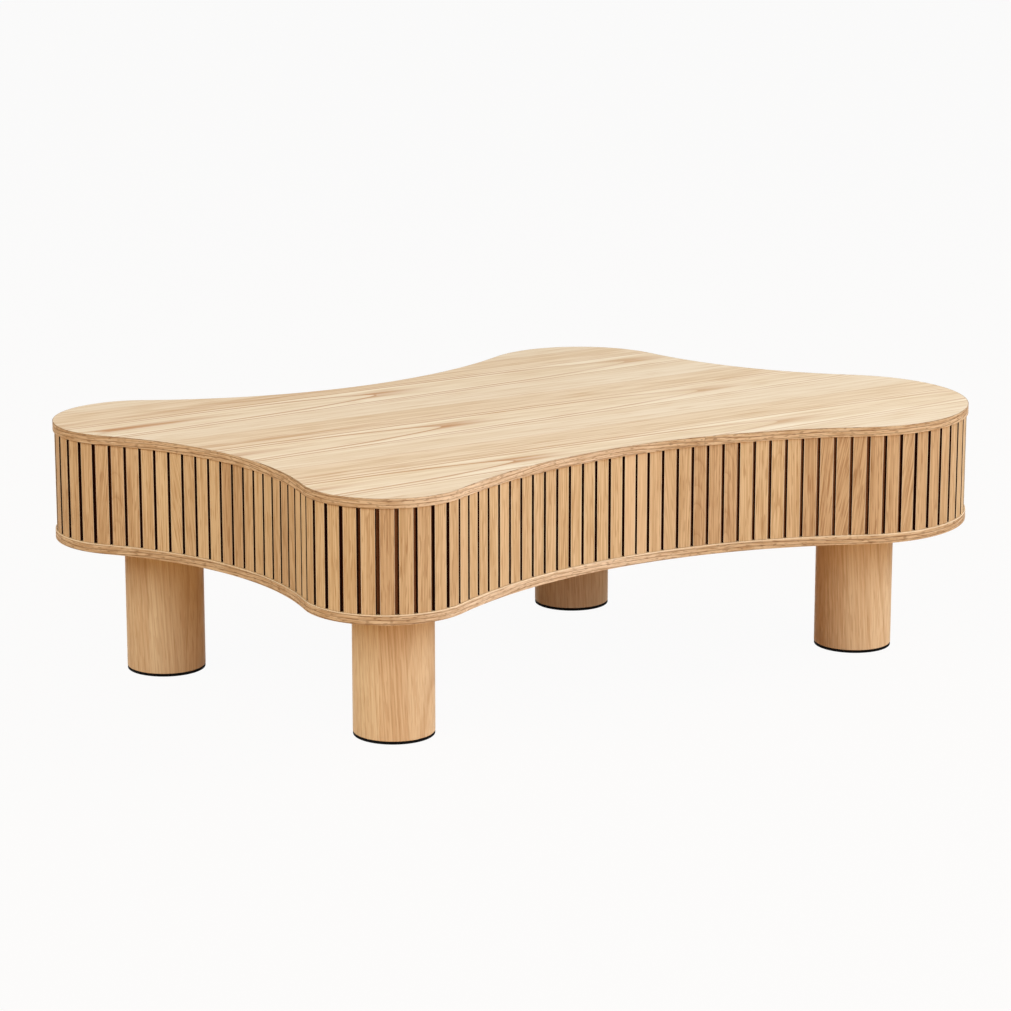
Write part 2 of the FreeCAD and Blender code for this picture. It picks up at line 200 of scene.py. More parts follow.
def station_at(length, offset):
    """Station after a length along the offset outline, counted on past a whole turn."""
    passed = passed_lengths(offset)
    turns = np.floor(length / passed[-1])
    return turns * ARC_COUNT + np.interp(length - turns * passed[-1], passed, np.arange(ARC_COUNT + 1))


def outline(station, offset):
    """Points of the outline moved in by an offset, and the outward unit vectors there.

    The point is the arc's centre plus its radius along the ray at the start angle plus the share of the
    sweep. The offset shortens a lobe's radius and lengthens a bay's. In a bay the ray points inwards.
    """
    station, offset = np.broadcast_arrays(station, offset)
    arc = np.floor(station).astype(int) % ARC_COUNT
    angle = ARC_START[arc] + ARC_SWEEP[arc] * (station - np.floor(station))
    ray = np.stack([np.cos(angle), np.sin(angle)], axis=-1)
    radius = ARC_RADIUS[arc] - ARC_TURN[arc] * offset
    return ARC_CENTER[arc] + ray * radius[..., None], ray * ARC_TURN[arc][..., None]


def even_stations(start_length, end_length, offset):
    """Stations about one outline step apart between two lengths, both ends included."""
    count = round((end_length - start_length) / OUTLINE_STEP) + 1
    return station_at(np.linspace(start_length, end_length, count), offset)


# Meshes

def grid_faces(rows, columns, wrap_rows=False, wrap_columns=False):
    """Vertex numbers of a grid's four-cornered faces, and the row and column of each corner.

    A wrapped direction also joins its last line to its first. Corner rows and columns count on there,
    so that a pattern laid by them does not jump back.
    """
    row, column = np.meshgrid(
        np.arange(rows if wrap_rows else rows - 1),
        np.arange(columns if wrap_columns else columns - 1),
        indexing="ij",
    )
    corner_row = np.stack([row, row + 1, row + 1, row], axis=-1).reshape(-1, 4)
    corner_column = np.stack([column, column, column + 1, column + 1], axis=-1).reshape(-1, 4)
    numbers = (corner_row % rows) * columns + corner_column % columns
    return numbers, corner_row, corner_column


def patterned_grid(points, row_places, column_places, **wraps):
    """Vertices and faces of a grid of points, with grain places given for its rows and its columns."""
    faces, row, column = grid_faces(*points.shape[:2], **wraps)
    places = np.stack([row_places[row], column_places[column]], axis=-1).reshape(-1, 2)
    return points.reshape(-1, 3), faces.tolist(), places


def running_length(points, closed=False):
    """Length along a row of points, from 0 at the first, with the closing stretch if it is closed."""
    if closed:
        points = np.concatenate([points, points[:1]])
    steps = np.linalg.norm(np.diff(points, axis=0), axis=1)
    return np.concatenate([[0.0], np.cumsum(steps)])


def add_to_scene(name, data):
    """A new object in the scene, at the origin."""
    added = bpy.data.objects.new(name, data)
    bpy.context.scene.collection.objects.link(added)
    return added


def make_piece(name, vertices, faces, corner_places, material, replaced, attributes=None):
    """Puts a surface into a mesh object that rides on the table and stands for CAD nodes.

    The corner places are metres along and across the grain, one pair for each face corner in turn.
    """
    mesh = bpy.data.meshes.new(name)
    mesh.from_pydata(vertices.tolist(), [], faces)
    layer = mesh.uv_layers.new(name="grain")
    layer.uv.foreach_set("vector", np.asarray(corner_places, dtype=np.float32).ravel())
    for label, values in (attributes or {}).items():
        mesh.attributes.new(label, "FLOAT", "POINT")
        mesh.attributes[label].data.foreach_set("value", values.astype(np.float32))
    mesh.shade_smooth()
    mesh.set_sharp_from_angle(angle=SHARP_ANGLE)
    mesh.materials.append(material)
    mesh.validate()
    piece = add_to_scene(name, mesh)
    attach(piece, "root")
    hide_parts(*replaced)


def quarter(start_angle, radius):
    """Steps round a quarter circle from an angle, as pairs of cosine and sine times the radius."""
    angle = start_angle + np.linspace(0.0, QUARTER_TURN, CORNER_POINTS)
    return radius * np.column_stack([np.cos(angle), np.sin(angle)])


def there_and_back(values):
    return np.concatenate([values, values[::-1]])


# Pieces that follow the outline

def along_outline(stations, profile):
    """A profile carried along the outline: rows are stations, and columns the profile's points.

    A profile point is its distance in from the outline and its height.
    """
    spots, _ = outline(stations[:, None], profile[None, :, 0])
    heights = np.broadcast_to(profile[None, :, 1], spots.shape[:2])
    return np.dstack([spots, heights])


def band_profile(low, high, edge_line):
    """Section of an edge band: a rectangle whose two outer corners are quarter circles.

    The upper corner is marked with 1, which fades out on the flat face within the edge line.
    """
    middle = BAND_INSET + BAND_EASE
    foot = (middle, low + BAND_EASE) + quarter(QUARTER_TURN, BAND_EASE) * (1, -1)
    shoulder = (middle, high - BAND_EASE) + quarter(QUARTER_TURN, BAND_EASE)[::-1]
    face = [(BAND_INSET, high - BAND_EASE - edge_line)]
    inside = [(BAND_THICKNESS, high), (BAND_THICKNESS, low)]
    profile = np.concatenate([foot, face, shoulder, inside])
    upper_corner = (profile[:, 1] >= high - BAND_EASE) * 1.0
    return profile, upper_corner


def make_edge_band(name, low, high, joint, sheen_stations, corner_mark, edge_line, material, node):
    """An edge band: its section carried once round the outline from its butt joint.

    Its grain places are the length from the joint and the length round the section. The strip is painted
    paler between two stations, as a painted sheen, with a soft change at each, but stops short at the
    joint if that comes first.
    """
    start = length_at(joint, 0.0)
    whole = passed_lengths(0.0)[-1]
    stations = even_stations(start, start + whole, 0.0)[:-1]
    profile, upper_corner = band_profile(low, high, edge_line)
    along = np.linspace(0.0, whole, len(stations) + 1)
    vertices, faces, places = patterned_grid(
        along_outline(stations, profile), along, running_length(profile, closed=True),
        wrap_rows=True, wrap_columns=True,
    )
    sheen_from, sheen_to = length_at(np.array(sheen_stations), 0.0)
    from_start = along[:-1] - (sheen_from - start) % whole
    from_ends = np.minimum(from_start, sheen_to - sheen_from - from_start)
    # Painted sheen: 1 on the paler stretch of band, fading out at each end
    painted_sheen = np.clip(0.5 + from_ends / SHEEN_FADE, 0.0, 1.0)
    attributes = {
        corner_mark: np.tile(upper_corner, len(stations)),
        "painted_sheen": np.repeat(painted_sheen, len(profile)),
    }
    make_piece(name, vertices, faces, places, material, [node], attributes)


def make_top_veneer(material):
    """The face veneer of the top: a thin plate from its edge to its middle, above and below.

    A ring of the plate is the outline moved in by the band and drawn towards the middle by a share. The
    innermost rings are closed by one flat face each.
    """
    whole = passed_lengths(BAND_THICKNESS)[-1]
    stations = even_stations(0.0, whole, BAND_THICKNESS)[:-1]
    edge, _ = outline(stations, BAND_THICKNESS)
    share = there_and_back(VENEER_RINGS)
    height = np.repeat([TOP_HIGH - VENEER_THICKNESS, TOP_HIGH], len(VENEER_RINGS))
    spots = edge[:, None, :] * share[None, :, None]
    points = np.dstack([spots, np.broadcast_to(height, spots.shape[:2])])
    rings = len(share)
    numbers = np.arange(len(stations)) * rings
    faces, _, _ = grid_faces(len(stations), rings, wrap_rows=True)
    faces = faces.tolist() + [numbers[::-1].tolist(), (numbers + rings - 1).tolist()]
    vertices = points.reshape(-1, 3)
    places = vertices[np.concatenate(faces)][:, :2]
    make_piece("top_veneer", vertices, faces, places, material, ["top_face_veneer"])


def make_backing(name, start_length, end_length, material, node):
    """The dark sheet behind the slats: a thin rectangle carried along the outline, closed at its ends."""
    low = BOTTOM_HIGH + CLEARANCE
    high = TOP_LOW - CLEARANCE
    profile = np.array([
        (BACKING_FRONT, low), (BACKING_FRONT, high), (BACKING_BACK, high), (BACKING_BACK, low),
    ])
    stations = even_stations(start_length, end_length, BACKING_FRONT)
    along = np.linspace(start_length, end_length, len(stations))
    vertices, faces, places = patterned_grid(
        along_outline(stations, profile), along, running_length(profile, closed=True), wrap_columns=True
    )
    corners = np.arange(len(profile))
    last = corners + len(profile) * (len(stations) - 1)
    faces += [corners[::-1].tolist(), last.tolist()]
    places = np.concatenate([places, profile[::-1], profile])
    make_piece(name, vertices, faces, places, material, [node])


# Slats

FRONT_SEAM = length_at(ARC_NAMES.index("front_bay") + 0.5, SLAT_BACK) + SEAM_SHIFT
REAR_SEAM = length_at(ARC_NAMES.index("rear_bay") + 0.5, SLAT_BACK) - SEAM_SHIFT


def lay_sheet(start, end, seam_slat_width, seam_slat_first):
    """Middles and widths of one sheet's slats, as lengths along the slats' back line.

    The trimmed slat and the seam's gap come off the run, and what is left holds a whole number of slats
    with equal gaps.
    """
    room = end - start - SEAM_GAP - seam_slat_width
    count = round(room / (SLAT_WIDTH + SLAT_GAP))
    gap = room / count - SLAT_WIDTH
    widths = np.full(count + 1, SLAT_WIDTH)
    widths[0 if seam_slat_first else -1] = seam_slat_width
    edges = start + SEAM_GAP / 2 + np.concatenate([[0.0], np.cumsum(widths + gap)[:-1]])
    return edges + widths / 2, widths


def slat_layout():
    """Stations and widths of all slats: the right sheet from the front seam, then the left sheet."""
    whole = passed_lengths(SLAT_BACK)[-1]
    right_middles, right_widths = lay_sheet(FRONT_SEAM, REAR_SEAM, RIGHT_SEAM_SLAT_WIDTH, True)
    left_middles, left_widths = lay_sheet(REAR_SEAM, FRONT_SEAM + whole, LEFT_SEAM_SLAT_WIDTH, False)
    middles = np.concatenate([right_middles, left_middles])
    return station_at(middles, SLAT_BACK), np.concatenate([right_widths, left_widths])


def slat_profile(widths):
    """Sections of slats, one row each: across the slat, out from its back, and the place along the skin.

    The two front corners are quarter circles, and beside each a further point ends a strip that carries a
    painted highlight. The sides and corners are stained, and the mark of the stain fades out on that strip.
    """
    half = widths[:, None] / 2
    corner = quarter(0.0, SLAT_EASE)
    inset = np.concatenate([[0.0], SLAT_EASE - corner[:, 0], [SLAT_EASE + ARRIS_WIDTH]])
    out = np.concatenate([[0.0], SLAT_THICKNESS - SLAT_EASE + corner[:, 1], [SLAT_THICKNESS]])
    stained = np.concatenate([np.ones(len(corner) + 1), [0.0]])
    # Mark of the painted highlight: 1 where the corner meets the face, 0 at the strip's end
    wear_and_highlight = np.concatenate([np.zeros(len(corner)), [1.0, 0.0]])
    across = np.concatenate([inset - half, (half - inset)[:, ::-1]], axis=1)
    side_steps = np.hypot(np.diff(inset), np.diff(out))
    to_arris_end = np.concatenate([np.cumsum(side_steps[::-1])[::-1], [0.0]])
    front_half = half - SLAT_EASE - ARRIS_WIDTH
    skin = np.concatenate([-front_half - to_arris_end, (front_half + to_arris_end)[:, ::-1]], axis=1)
    marks = {"edge_highlight": there_and_back(wear_and_highlight), "stain": there_and_back(stained)}
    return across, there_and_back(out), skin, marks


def slat_characters(count):
    """What each slat was cut from: browner or paler board, and how its grain lies.

    Slats from one board follow each other, so tones come in runs. Most slats are cut well aside from the
    pith, which gives straight lines. A crown cut over the pith gives nested arches.
    """
    chance = np.random.default_rng(11)
    brown = chance.normal(0.12, 0.12, count)
    pale = np.zeros(count)
    lean = chance.normal(0.0, 0.012, count)
    aside = 0.02 + 0.05 * chance.random(count)
    cut = 0.004 + 0.02 * chance.random(count)
    tilt = chance.normal(0.0, 0.004, count)
    figure = 0.18 + 0.2 * chance.random(count)
    for first, last, share in BROWN_RUNS:
        brown[np.arange(first, last + 1)] += share
    pale[list(PALE_SLATS)] = list(PALE_SLATS.values())
    lean[list(SLANTING_SLATS)] = list(SLANTING_SLATS.values())
    figure[list(SLANTING_SLATS)] = SLANTING_FIGURE
    crown = list(CROWN_SLATS)
    aside[crown] = chance.normal(0.0, 0.004, len(crown))
    tilt[crown] = list(CROWN_SLATS.values())
    figure[crown] = CROWN_FIGURE
    return {
        "slat_brown": np.clip(brown, 0.0, 1.0), "slat_pale": pale, "slat_lean": lean,
        "slat_aside": aside, "slat_cut": cut, "slat_tilt": tilt, "slat_figure": figure,
        "slat_number": np.arange(count) * 1.0,
    }


def make_slats(material):
    """All slats, one piece for each lobe and bay.

    A slat is its section set on the slats' back line, square to the outline at its middle, and drawn up
    from just above the deck to just below the top.
    """
    stations, widths = slat_layout()
    seats, outward = outline(stations, SLAT_BACK)
    along = np.column_stack([-outward[:, 1], outward[:, 0]])
    across, out, skin, marks = slat_profile(widths)
    corners = len(out)
    each = corners * 2
    section = (
        seats[:, None, :]
        + along[:, None, :] * across[..., None]
        + outward[:, None, :] * out[None, :, None]
    )
    ends = np.array([BOTTOM_HIGH + CLEARANCE, TOP_LOW - CLEARANCE])
    points = np.empty((len(stations), corners, 2, 3))
    points[..., :2] = section[:, :, None, :]
    points[..., 2] = ends
    sides, row, column = grid_faces(corners, 2, wrap_rows=True)
    low_cap = 2 * np.arange(corners)[::-1]
    high_cap = 2 * np.arange(corners) + 1
    closing = skin[:, :1] + (2 * skin[:, -1:] + SLAT_WIDTH)
    around = np.concatenate([skin, closing], axis=1)
    side_places = np.stack(np.broadcast_arrays(around[:, row], ends[column]), axis=-1)
    cap_places = np.stack(np.broadcast_arrays(across, out), axis=-1)
    characters = slat_characters(len(stations))
    arc = np.floor(stations).astype(int) % ARC_COUNT
    for number, arc_name in enumerate(ARC_NAMES):
        members = np.flatnonzero(arc == number)
        shift = each * np.arange(len(members))[:, None]
        faces = (sides + shift[:, None]).reshape(-1, 4).tolist()
        faces += (low_cap + shift).tolist() + (high_cap + shift).tolist()
        placed = (side_places[members], cap_places[members][:, ::-1], cap_places[members])
        places = np.concatenate([part.reshape(-1, 2) for part in placed])
        attributes = {label: np.repeat(values[members], each) for label, values in characters.items()}
        for label, values in marks.items():
            attributes[label] = np.tile(np.repeat(values, 2), len(members))
        vertices = points[members].reshape(-1, 3)
        make_piece("veneered_slats_" + arc_name, vertices, faces, places, material,
                   ["slats_" + arc_name], attributes)


# Turned pieces

def turned(center, profile, sides, closed=False):
    """A profile of radii and heights turned about an upright axis: rows are angles, columns the profile."""
    angle = np.linspace(0.0, FULL_TURN, sides, endpoint=False)
    ray = np.column_stack([np.cos(angle), np.sin(angle)])
    spots = np.asarray(center) + ray[:, None, :] * profile[None, :, :1]
    heights = np.broadcast_to(profile[None, :, 1], spots.shape[:2])
    across = np.linspace(0.0, FULL_TURN * profile[:, 0].max(), sides + 1)
    return patterned_grid(np.dstack([spots, heights]), across, running_length(profile, closed),
                          wrap_rows=True, wrap_columns=closed)


def turned_solid(center, profile, sides):
    """A turned piece closed by a flat face below and above."""
    vertices, faces, places = turned(center, profile, sides)
    below = np.arange(0, len(vertices), len(profile))[::-1]
    above = np.arange(len(profile) - 1, len(vertices), len(profile))
    ends = [below.tolist(), above.tolist()]
    end_places = vertices[np.concatenate(ends)][:, :2] - center
    return vertices, faces + ends, np.concatenate([places, end_places])


def node_center(node):
    """Middle of a CAD node, seen from above."""
    low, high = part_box(node)
    middle = (low + high) / 2
    return np.array([middle.x, middle.y])


def make_leg(name, material):
    """A round leg: a straight profile with an eased foot, turned about its axis."""
    node = "leg_" + name
    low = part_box(node)[0].z
    foot = (LEG_RADIUS - LEG_EASE, low + LEG_EASE) + quarter(-QUARTER_TURN, LEG_EASE)
    profile = np.concatenate([foot, [(LEG_RADIUS, BOTTOM_LOW)]])
    vertices, faces, places = turned_solid(node_center(node), profile, LEG_SIDES)
    make_piece("round_leg_" + name, vertices, faces, places, material, [node])


def make_pad(name, material):
    """A foot pad: a flat ring with rounded outer edges, turned about the leg's axis."""
    node = "foot_pad_" + name
    low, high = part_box(node)
    bottom_edge = (PAD_RADIUS - PAD_EASE, low.z + PAD_EASE) + quarter(-QUARTER_TURN, PAD_EASE)
    top_edge = (PAD_RADIUS - PAD_EASE, high.z - PAD_EASE) + quarter(0.0, PAD_EASE)
    hole = [(PAD_HOLE_RADIUS, high.z), (PAD_HOLE_RADIUS, low.z)]
    profile = np.concatenate([bottom_edge, top_edge, hole])
    vertices, faces, places = turned(node_center(node), profile, LEG_SIDES, closed=True)
    make_piece("felt_pad_" + name, vertices, faces, places, material, [node])


def screw(center, low, high, head_radius, shank_radius):
    """A turned, countersunk screw that points up, from its head's face to its tip, with a cross recess.

    A point of the head's face is raised by the recess's depth where the smaller of its two distances from
    the cross's arms is under half an arm's width, and less towards the ends of the arms.
    """
    arm = head_radius * 0.14
    reach = head_radius * 0.6
    depth = head_radius * 0.5
    face = np.linspace(0.03, 1.0, SCREW_FACE_RINGS) * head_radius
    cone_top = low + head_radius - shank_radius
    skin = [(shank_radius, cone_top), (shank_radius, high - shank_radius), (shank_radius * 0.1, high)]
    profile = np.concatenate([np.column_stack([face, np.full(len(face), low)]), skin])
    vertices, faces, places = turned_solid(center, profile, SCREW_SIDES)
    local = vertices[:, :2] - center
    from_arm = np.abs(local).min(axis=1)
    from_center = np.linalg.norm(local, axis=1)
    in_arm = np.clip((1.5 * arm - from_arm) / arm, 0.0, 1.0)
    before_end = np.clip((reach - from_center) / arm, 0.0, 1.0)
    on_face = vertices[:, 2] < low + 1e-6
    vertices[:, 2] += np.where(on_face, in_arm * before_end * depth, 0.0)
    return vertices, faces, places


def make_screws(name, centers, node, head_radius, shank_radius, material):
    """A set of like screws as one piece."""
    low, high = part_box(node)
    made = [screw(center, low.z, high.z, head_radius, shank_radius) for center in centers]
    vertices, faces, places = zip(*made)
    faces = [
        [corner + len(vertices[0]) * number for corner in face]
        for number, own_faces in enumerate(faces)
        for face in own_faces
    ]
    make_piece(name, np.concatenate(vertices), faces, np.concatenate(places), material, [node])


# Values in shader trees

class Value:
    """An output of a shader node. Sums with it place Math nodes in the same tree."""

    def __init__(self, socket):
        self.socket = socket
        self.tree = socket.id_data

    def __add__(self, other):
        return calc("ADD", self, other)

    def __sub__(self, other):
        return calc("SUBTRACT", self, other)

    def __rsub__(self, other):
        return calc("SUBTRACT", other, self)

    def __mul__(self, other):
        return calc("MULTIPLY", self, other)

    def __truediv__(self, other):
        return calc("DIVIDE", self, other)

    def __abs__(self):
        return calc("ABSOLUTE", self)


def feed(socket, value):
    """Links a value to a socket, or sets the socket to a plain number or colour."""
    if isinstance(value, Value):
        value.tree.links.new(value.socket, socket)
    else:
        socket.default_value = value


def values_of(node):
    """A node's outputs, by number and by name."""
    values = [Value(socket) for socket in node.outputs]
    return dict(enumerate(values)) | {value.socket.name: value for value in values}


def place_node(tree, kind, inputs=None, **settings):
    """A shader node with its settings made and its inputs fed, as its outputs."""
    made = tree.nodes.new("ShaderNode" + kind)
    for label, value in settings.items():
        setattr(made, label, value)
    for label, value in (inputs or {}).items():
        feed(made.inputs[label], value)
    return values_of(made)


def calc(operation, first, second=0.0):
    tree = (first if isinstance(first, Value) else second).tree
    return place_node(tree, "Math", {0: first, 1: second}, operation=operation)[0]


def blend(share, first, second):
    """Two colours mixed by a share."""
    inputs = {0: share, 6: first, 7: second}
    return place_node(share.tree, "Mix", inputs, data_type="RGBA")[2]


def fade(value, start, end, low=0.0, high=1.0):
    """A smooth step from low to high as the value goes from start to end."""
    inputs = {0: value, 1: start, 2: end, 3: low, 4: high}
    return place_node(value.tree, "MapRange", inputs, interpolation_type="SMOOTHSTEP")[0]


def curve(value, stops):
    """A value read off a curve of straight stretches between stops of position and height."""
    ramp = place_node(value.tree, "ValToRGB", {0: value})[0]
    elements = ramp.socket.node.color_ramp.elements
    while len(elements) < len(stops):
        elements.new(0.5)
    for element, (position, height) in zip(elements, stops):
        element.position = position
        element.color = (height, height, height, 1.0)
    return ramp


def stretched_noise(position, scale, detail=2.0, roughness=0.5):
    """Noise whose patches are drawn out by giving each axis its own number of patches to the metre."""
    drawn = place_node(position.tree, "Mapping", {"Vector": position, "Scale": scale})[0]
    inputs = {"Vector": drawn, "Scale": 1.0, "Detail": detail, "Roughness": roughness}
    return place_node(position.tree, "TexNoise", inputs)["Fac"]


def line_noise(value):
    inputs = {"W": value, "Scale": 1.0, "Detail": 1.0}
    return place_node(value.tree, "TexNoise", inputs, noise_dimensions="1D")["Fac"]


def drawn_lot(number):
    """A chance value and colour for each whole number."""
    return place_node(number.tree, "TexWhiteNoise", {"W": number}, noise_dimensions="1D")


def combined(x, y, z):
    return place_node(x.tree, "CombineXYZ", {0: x, 1: y, 2: z})[0]


def separated(vector):
    parts = place_node(vector.tree, "SeparateXYZ", {0: vector})
    return parts[0], parts[1], parts[2]


def object_place(tree):
    return place_node(tree, "TexCoord")["Object"]


def grain_place(tree):
    """The piece's own metres along and across the grain."""
    return separated(place_node(tree, "UVMap", uv_map="grain")[0])


def reading(tree, attribute):
    return place_node(tree, "Attribute", attribute_name=attribute)["Fac"]


def tint(red, green, blue):
    """A colour given as 0 to 255 on a screen, as the linear light that shaders take."""
    screen = np.array([red, green, blue]) / 255
    light = np.where(screen <= 0.04045, screen / 12.92, ((screen + 0.055) / 1.055) ** 2.4)
    return (*light.tolist(), 1.0)


# Grain and figure of the wood, as node groups

# How dark a ring's line and its shade are, by the share of the ring passed
RING_LINE = ((0.0, 1.0), (0.06, 0.8), (0.10, 0.12), (0.13, 0.08), (0.16, 0.45), (0.2, 0.06), (0.3, 0.0),
             (0.95, 0.0), (1.0, 1.0))
RING_SHADE = ((0.0, 0.9), (0.04, 1.0), (0.11, 0.6), (0.2, 0.2), (0.3, 0.0), (0.97, 0.0), (1.0, 0.9))


def new_group(name, inputs, outputs):
    """An empty shader group with its sockets: the tree, what it is given and what it puts out."""
    tree = bpy.data.node_groups.new(name, "ShaderNodeTree")
    for in_out, sockets in (("INPUT", inputs), ("OUTPUT", outputs)):
        for label, kind in sockets.items():
            tree.interface.new_socket(name=label, in_out=in_out, socket_type="NodeSocket" + kind)
    return tree, values_of(tree.nodes.new("NodeGroupInput")), tree.nodes.new("NodeGroupOutput").inputs


def straight_grain_group():
    """Streaks and pores along Z: noise drawn out along the grain, broad and fine, and short dark pores."""
    tree, given, put_out = new_group(
        "straight_grain", {"Position": "Vector"}, {"Streaks": "Float", "Pores": "Float"}
    )
    broad = stretched_noise(given["Position"], (75.0, 75.0, 1.6), detail=3.0)
    fine = stretched_noise(given["Position"], (540.0, 540.0, 9.0), roughness=0.65)
    pore = stretched_noise(given["Position"], (520.0, 520.0, 32.0), detail=1.0)
    feed(put_out["Streaks"], fade(broad * 0.25 + fine * 0.75, 0.40, 0.60))
    feed(put_out["Pores"], fade(pore, 0.55, 0.66))
    return tree


def growth_rings_group():
    """Lines and shade that a flat cut makes through the rings of a tree.

    The cut runs along the pith at a depth that changes with the tilt, so the radius is the root of across
    squared plus depth squared. The radius over the ring width counts the rings. Each ring starts with a
    sharp dark line, with a weaker one after it, and a brown shade that fades out in its first third. Slow
    noise swings the cut, and the rings differ in width and strength.
    """
    labels = ("Along", "Across", "Cut", "Tilt", "Ring", "Waver", "Seed")
    tree, given, put_out = new_group(
        "growth_rings", dict.fromkeys(labels, "Float"), {"Lines": "Float", "Shade": "Float"}
    )
    along, across, cut, tilt, ring, waver, seed = (given[label] for label in labels)
    place = combined(along * 3.0, across * 5.0, seed)
    sway = place_node(tree, "TexNoise", {"Vector": place, "Scale": 1.0, "Detail": 2.0})["Fac"]
    swing = (sway - 0.5) * waver
    aside = across + swing
    depth = cut + along * tilt + swing * 0.4
    rings = calc("SQRT", aside * aside + depth * depth) / ring
    uneven = line_noise(rings * 0.8 + seed)
    count = rings + (uneven - 0.5) * 0.5
    strength = drawn_lot(calc("FLOOR", count) + seed)[0] * 0.5 + 0.5
    passed = calc("FRACT", count)
    feed(put_out["Lines"], curve(passed, RING_LINE) * strength)
    feed(put_out["Shade"], curve(passed, RING_SHADE) * strength)
    return tree


def wood_skin_group():
    """Colour, roughness and height of a lacquered wood from its streaks, ring lines and pores."""
    colors = dict.fromkeys(("Pale", "Deep", "Line"), "Color")
    masks = dict.fromkeys(("Streaks", "Lines", "Pores"), "Float")
    tree, given, put_out = new_group(
        "wood_skin", colors | masks, {"Color": "Color", "Roughness": "Float", "Height": "Float"}
    )
    streaks, lines, pores = given["Streaks"], given["Lines"], given["Pores"]
    body = blend(streaks, given["Pale"], given["Deep"])
    lined = blend(lines, body, given["Line"])
    feed(put_out["Color"], blend(pores * 0.45, lined, given["Line"]))
    feed(put_out["Roughness"], streaks * 0.08 + 0.42 + pores * 0.16)
    feed(put_out["Height"], streaks * 0.25 - pores - lines * 0.4)
    return tree


STRAIGHT_GRAIN = straight_grain_group()
GROWTH_RINGS = growth_rings_group()
WOOD_SKIN = wood_skin_group()


# Materials

# Reflection of a plain surface, the matt lacquer on the top and on the sides and legs, and fibres
PLAIN_SURFACE = 0.5
TOP_LACQUER = 0.12
MATT_LACQUER = 0.03
FUZZY_SHEET = 0.2
BLACK_FELT = 0.1

# Tints of the woods on a screen: pale streaks, deep streaks and lines
BAND_WOOD = ((222, 196, 164), (189, 156, 121), (100, 61, 29))
# Band wood painted paler, as sheen
SHEEN_BAND_WOOD = ((235, 213, 188), (206, 178, 148), (128, 86, 49))
SLAT_WOOD = ((222, 195, 158), (201, 169, 129), (166, 121, 75))
BROWN_SLAT_WOOD = ((207, 175, 138), (182, 146, 109), (141, 97, 60))
PALE_LEG_WOOD = ((233, 214, 182), (224, 199, 165), (176, 132, 84))
BROWN_LEG_WOOD = ((222, 195, 161), (208, 176, 140), (160, 113, 71))

# Depth of the relief of each kind of surface, and how strongly it shows
WOOD_RELIEF = 0.0001
SAWN_RELIEF = 0.0002
FIBRE_RELIEF = 0.0003
PLATED_RELIEF = 0.00005
RELIEF_STRENGTH = 0.6

# Figure of the top's leaves: slip-matched, so each repeats the last one a little further along
LEAF_WIDTH = 0.2275
LEAF_JOINT_Y = 0.089
LEAF_SLIP = 0.025
FIGURE_AXIS = 0.1166
FIGURE_LEAN = 0.022
FIGURE_SWAY = 0.008
FIGURE_TIP = -0.150
FIGURE_LENGTH = 0.437
FIGURE_AREA = 0.00105
TIP_STREAK = ((0.0, 1.0), (0.06, 0.85), (0.12, 0.6), (0.18, 0.25), (0.25, 0.0), (1.0, 0.0))

# Boards that the legs are glued up from
LEG_BOARD = 0.038
LEG_BOARD_ANGLE = math.radians(-125)


def new_material(name):
    """An empty material and its tree."""
    material = bpy.data.materials.new(name)
    material.use_nodes = True
    material.node_tree.nodes.clear()
    return material, material.node_tree


def finished(material, color, roughness, height, relief, reflection=PLAIN_SURFACE, metal=0.0):
    """The material with its shader: colour, roughness, a bump of some depth in metres, and reflection."""
    tree = material.node_tree
    inputs = {"Height": height, "Distance": relief, "Strength": RELIEF_STRENGTH}
    bump = place_node(tree, "Bump", inputs)[0]
    shader = place_node(tree, "BsdfPrincipled", {
        "Base Color": color, "Roughness": roughness, "Normal": bump,
        "Specular IOR Level": reflection, "Metallic": metal,
    })[0]
    place_node(tree, "OutputMaterial", {"Surface": shader})
    return material


def straight_grain(position):
    return place_node(position.tree, "Group", {"Position": position}, node_tree=STRAIGHT_GRAIN)


def figure(tree, line_share, shade_share, **cut):
    """Ring lines of a cut and their shade as one mask."""
    rings = place_node(tree, "Group", cut, node_tree=GROWTH_RINGS)
    return calc("MAXIMUM", rings["Lines"] * line_share, rings["Shade"] * shade_share)


def wood_skin(grain, **inputs):
    """Colour, roughness and height of a wood from its grain's streaks and pores, tints and lines."""
    inputs = {"Streaks": grain["Streaks"], "Pores": grain["Pores"]} | inputs
    skin = place_node(grain["Streaks"].tree, "Group", inputs, node_tree=WOOD_SKIN)
    return skin["Color"], skin["Roughness"], skin["Height"]


def wood_tints(share, first, second):
    """Tints of two woods mixed by a share."""
    pairs = zip(("Pale", "Deep", "Line"), first, second)
    return {label: blend(share, tint(*one), tint(*other)) for label, one, other in pairs}


